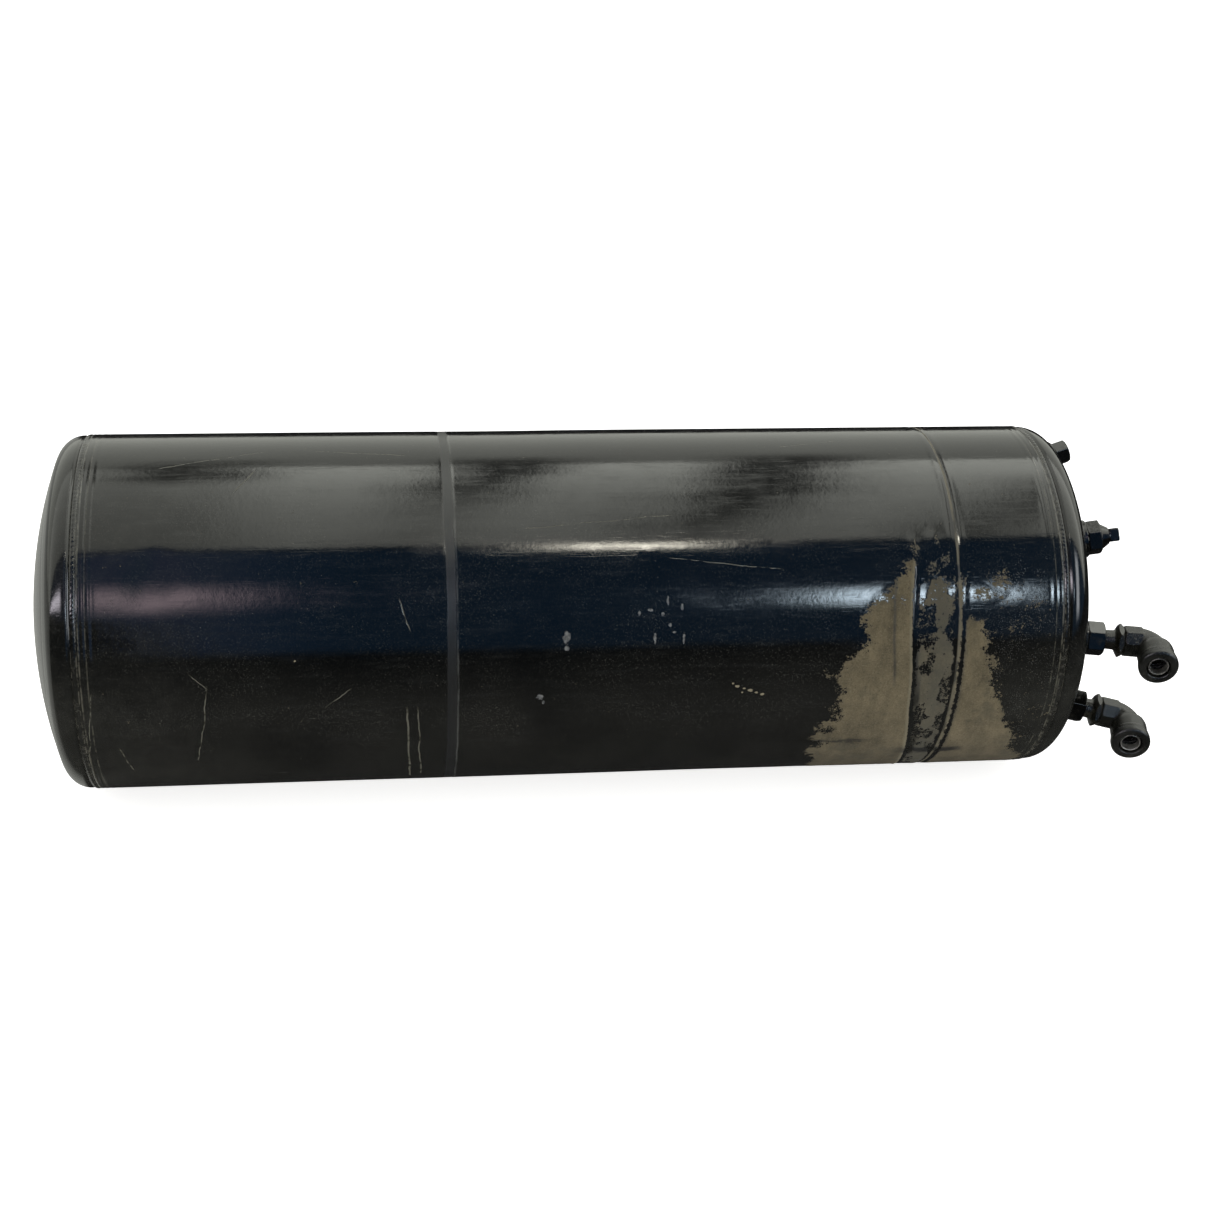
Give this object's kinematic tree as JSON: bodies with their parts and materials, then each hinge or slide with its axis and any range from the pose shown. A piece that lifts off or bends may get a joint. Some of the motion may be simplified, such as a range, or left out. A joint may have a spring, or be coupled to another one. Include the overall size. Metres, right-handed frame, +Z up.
{
  "type": "compressed air reservoir",
  "caption": "Horizontal welded steel compressed-air tank with dished ends, plugged ports and swivelling push-to-connect elbows on one head.",
  "frame": {"origin": "on the tank axis, half way between the two head seams", "axes": "+X along the tank axis towards the head that carries the ports, +Z up as the tank lies with its elbow outlets facing forward (-Y)"},
  "size_m": [0.8181, 0.254, 0.254],
  "materials": {
    "gloss_black_paint": "gloss black enamel, scuffed and dusty",
    "painted_weld": "gloss black enamel over rippled weld",
    "painted_boss": "gloss black enamel",
    "painted_fitting": "gloss black over machined steel",
    "stem_metal": "dark plated metal with traces of thread sealant",
    "elbow_composite": "moulded glass-filled black plastic",
    "cap_composite": "moulded black plastic",
    "seal_rubber": "nitrile rubber",
    "spring_steel": "stainless spring steel",
    "collet_metal": "dull nickel plate"
  },
  "bodies": {
    "tank": {"barrel_seam_weld": "painted_weld", "barrel_shell": "gloss_black_paint", "elbow_bushing_3": "painted_fitting", "elbow_bushing_4": "painted_fitting", "elbow_stem_3": "stem_metal", "elbow_stem_4": "stem_metal", "hexagon_plug": "painted_fitting", "left_head": "gloss_black_paint", "left_head_weld": "painted_weld", "nosed_bushing": "painted_fitting", "port_boss_1": "painted_boss", "port_boss_2": "painted_boss", "port_boss_3": "painted_boss", "port_boss_4": "painted_boss", "port_boss_welds": "painted_weld", "right_head": "gloss_black_paint", "right_head_weld": "painted_weld", "square_head_plug": "painted_fitting", "stem_o_ring_3": "seal_rubber", "stem_o_ring_4": "seal_rubber", "stem_snap_ring_3": "spring_steel", "stem_snap_ring_4": "spring_steel"},
    "elbow_3": {"elbow_body_3": "elbow_composite", "tube_o_ring_3": "seal_rubber", "grab_ring_3": "spring_steel", "retainer_cap_3": "cap_composite"},
    "collet_3": {"release_collet_3": "collet_metal"},
    "elbow_4": {"elbow_body_4": "elbow_composite", "tube_o_ring_4": "seal_rubber", "grab_ring_4": "spring_steel", "retainer_cap_4": "cap_composite"},
    "collet_4": {"release_collet_4": "collet_metal"}
  },
  "joints": [
    {"name": "elbow_3_swivel", "type": "hinge", "parent": "tank", "child": "elbow_3", "pos_m": [0.42734, -0.07488, -0.00222], "axis": [0.9806, -0.1959, -0.0058], "continuous": true},
    {"name": "collet_3_press", "type": "slide", "parent": "elbow_3", "child": "collet_3", "axis": [0.1958, 0.9775, 0.079], "range_m": [0, 0.0012], "stiffness_N_per_m": 3000},
    {"name": "elbow_4_swivel", "type": "hinge", "parent": "tank", "child": "elbow_4", "pos_m": [0.41941, -0.07452, -0.06756], "axis": [0.9644, -0.1959, -0.1776], "continuous": true},
    {"name": "collet_4_press", "type": "slide", "parent": "elbow_4", "child": "collet_4", "axis": [0.2184, 0.9688, 0.1171], "range_m": [0, 0.0012], "stiffness_N_per_m": 3000}
  ]
}
